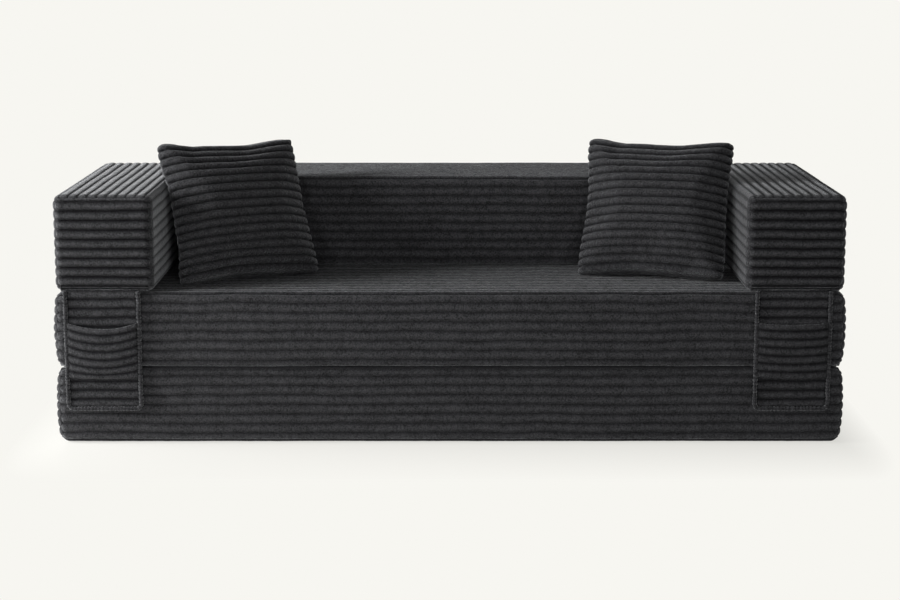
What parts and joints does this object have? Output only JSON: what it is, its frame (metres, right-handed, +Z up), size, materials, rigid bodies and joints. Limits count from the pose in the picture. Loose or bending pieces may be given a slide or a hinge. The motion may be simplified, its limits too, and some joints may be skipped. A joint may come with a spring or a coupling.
{
  "type": "folding ottoman bed",
  "caption": "Fold-out foam sofa bed: hinged slabs, lift-off backrest and arms, hanging pocket flaps and loose pillows, all in wide-ribbed plush.",
  "frame": {"origin": "on the floor, under the middle of the lower slab", "axes": "+X to the right as seen from the front, +Y to the back, +Z up"},
  "size_m": [2.032, 0.7853, 0.7545],
  "materials": {
    "ribbed_plush": "matte",
    "pillow_plush": "matte",
    "pocket_plush": "matte",
    "base_cloth": "matte",
    "foam": "matte",
    "filling": "matte",
    "loop_strip": "matte",
    "hook_strip": "matte",
    "zip_tape": "matte",
    "zip_metal": "satin",
    "welt": "matte"
  },
  "bodies": {
    "seat": {"seat_cover": "ribbed_plush", "seat_left_end_panel": "ribbed_plush", "seat_right_end_panel": "ribbed_plush", "seat_foam_core": "foam", "seat_base_cloth": "base_cloth", "seat_loop_strips": "loop_strip", "seat_zip_tape": "zip_tape", "fold_line_welt": "welt"},
    "fold_out": {"fold_out_cover": "ribbed_plush", "fold_out_left_end_panel": "ribbed_plush", "fold_out_right_end_panel": "ribbed_plush", "fold_out_foam_core": "foam", "fold_out_base_cloth": "base_cloth", "fold_out_zip_tape": "zip_tape"},
    "backrest": {"backrest_cover": "ribbed_plush", "backrest_left_end_panel": "ribbed_plush", "backrest_right_end_panel": "ribbed_plush", "backrest_foam_core": "foam", "backrest_hook_strips": "hook_strip", "backrest_zip_tape": "zip_tape"},
    "left_arm": {"left_arm_cover": "ribbed_plush", "left_arm_front_panel": "ribbed_plush", "left_arm_rear_panel": "ribbed_plush", "left_arm_foam_core": "foam", "left_arm_hook_strips": "hook_strip", "left_arm_pocket_hanger": "pocket_plush", "left_arm_zip_tape": "zip_tape"},
    "right_arm": {"right_arm_cover": "ribbed_plush", "right_arm_front_panel": "ribbed_plush", "right_arm_rear_panel": "ribbed_plush", "right_arm_foam_core": "foam", "right_arm_hook_strips": "hook_strip", "right_arm_pocket_hanger": "pocket_plush", "right_arm_zip_tape": "zip_tape"},
    "left_flap": {"left_flap_panel": "pocket_plush", "left_flap_hem": "pocket_plush", "left_flap_pouch": "pocket_plush"},
    "right_flap": {"right_flap_panel": "pocket_plush", "right_flap_hem": "pocket_plush", "right_flap_pouch": "pocket_plush"},
    "left_pillow": {"left_pillow_cover": "pillow_plush", "left_pillow_filling": "filling"},
    "right_pillow": {"right_pillow_cover": "pillow_plush", "right_pillow_filling": "filling"},
    "seat_slider": {"seat_zip_slider": "zip_metal"},
    "seat_pull": {"seat_zip_pull": "zip_metal"},
    "fold_out_slider": {"fold_out_zip_slider": "zip_metal"},
    "fold_out_pull": {"fold_out_zip_pull": "zip_metal"},
    "backrest_slider": {"backrest_zip_slider": "zip_metal"},
    "backrest_pull": {"backrest_zip_pull": "zip_metal"},
    "left_arm_slider": {"left_arm_zip_slider": "zip_metal"},
    "left_arm_pull": {"left_arm_zip_pull": "zip_metal"},
    "right_arm_slider": {"right_arm_zip_slider": "zip_metal"},
    "right_arm_pull": {"right_arm_zip_pull": "zip_metal"}
  },
  "joints": [
    {"name": "fold_out_hinge", "type": "hinge", "parent": "seat", "child": "fold_out", "pos_m": [0, -0.3813, 0.20015], "axis": [-1, 0, 0], "range_deg": [0, 180]},
    {"name": "backrest_lift", "type": "slide", "parent": "seat", "child": "backrest", "axis": [0, 0.5, 0.866], "range_m": [0, 0.35]},
    {"name": "left_arm_lift", "type": "slide", "parent": "seat", "child": "left_arm", "axis": [-0.5, 0, 0.866], "range_m": [0, 0.35]},
    {"name": "right_arm_lift", "type": "slide", "parent": "seat", "child": "right_arm", "axis": [0.5, 0, 0.866], "range_m": [0, 0.35]},
    {"name": "left_pillow_lift", "type": "slide", "parent": "seat", "child": "left_pillow", "axis": [0, 0, 1], "range_m": [0, 0.3]},
    {"name": "right_pillow_lift", "type": "slide", "parent": "seat", "child": "right_pillow", "axis": [0, 0, 1], "range_m": [0, 0.3]},
    {"name": "left_flap_swing", "type": "hinge", "parent": "left_arm", "child": "left_flap", "pos_m": [-0.893, -0.385, 0.4046], "axis": [-1, 0, 0], "range_deg": [0, 90]},
    {"name": "right_flap_swing", "type": "hinge", "parent": "right_arm", "child": "right_flap", "pos_m": [0.882, -0.385, 0.4046], "axis": [-1, 0, 0], "range_deg": [0, 90]},
    {"name": "seat_zip_slide", "type": "slide", "parent": "seat", "child": "seat_slider", "axis": [-1, 0, 0], "range_m": [0, 1.416]},
    {"name": "seat_pull_flip", "type": "hinge", "parent": "seat_slider", "child": "seat_pull", "pos_m": [0.708, 0.3779, 0.3003], "axis": [0, 0, -1], "range_deg": [0, 170]},
    {"name": "fold_out_zip_slide", "type": "slide", "parent": "fold_out", "child": "fold_out_slider", "axis": [-1, 0, 0], "range_m": [0, 1.416]},
    {"name": "fold_out_pull_flip", "type": "hinge", "parent": "fold_out_slider", "child": "fold_out_pull", "pos_m": [0.708, 0.3779, 0.1], "axis": [0, 0, -1], "range_deg": [0, 170]},
    {"name": "backrest_zip_slide", "type": "slide", "parent": "backrest", "child": "backrest_slider", "axis": [-1, 0, 0], "range_m": [0, 1.116]},
    {"name": "backrest_pull_flip", "type": "hinge", "parent": "backrest_slider", "child": "backrest_pull", "pos_m": [0.558, 0.3779, 0.5256], "axis": [0, 0, -1], "range_deg": [0, 170]},
    {"name": "left_arm_zip_slide", "type": "slide", "parent": "left_arm", "child": "left_arm_slider", "axis": [-1, 0, 0], "range_m": [0, 0.112]},
    {"name": "left_arm_pull_flip", "type": "hinge", "parent": "left_arm_slider", "child": "left_arm_pull", "pos_m": [-0.831, 0.3779, 0.5256], "axis": [0, 0, -1], "range_deg": [0, 170]},
    {"name": "right_arm_zip_slide", "type": "slide", "parent": "right_arm", "child": "right_arm_slider", "axis": [-1, 0, 0], "range_m": [0, 0.112]},
    {"name": "right_arm_pull_flip", "type": "hinge", "parent": "right_arm_slider", "child": "right_arm_pull", "pos_m": [0.943, 0.3779, 0.5256], "axis": [0, 0, -1], "range_deg": [0, 170]}
  ],
  "couplings": [
    {"joint": "left_flap_swing", "follows": "fold_out_hinge", "ratio": 0.5},
    {"joint": "right_flap_swing", "follows": "fold_out_hinge", "ratio": 0.5}
  ]
}
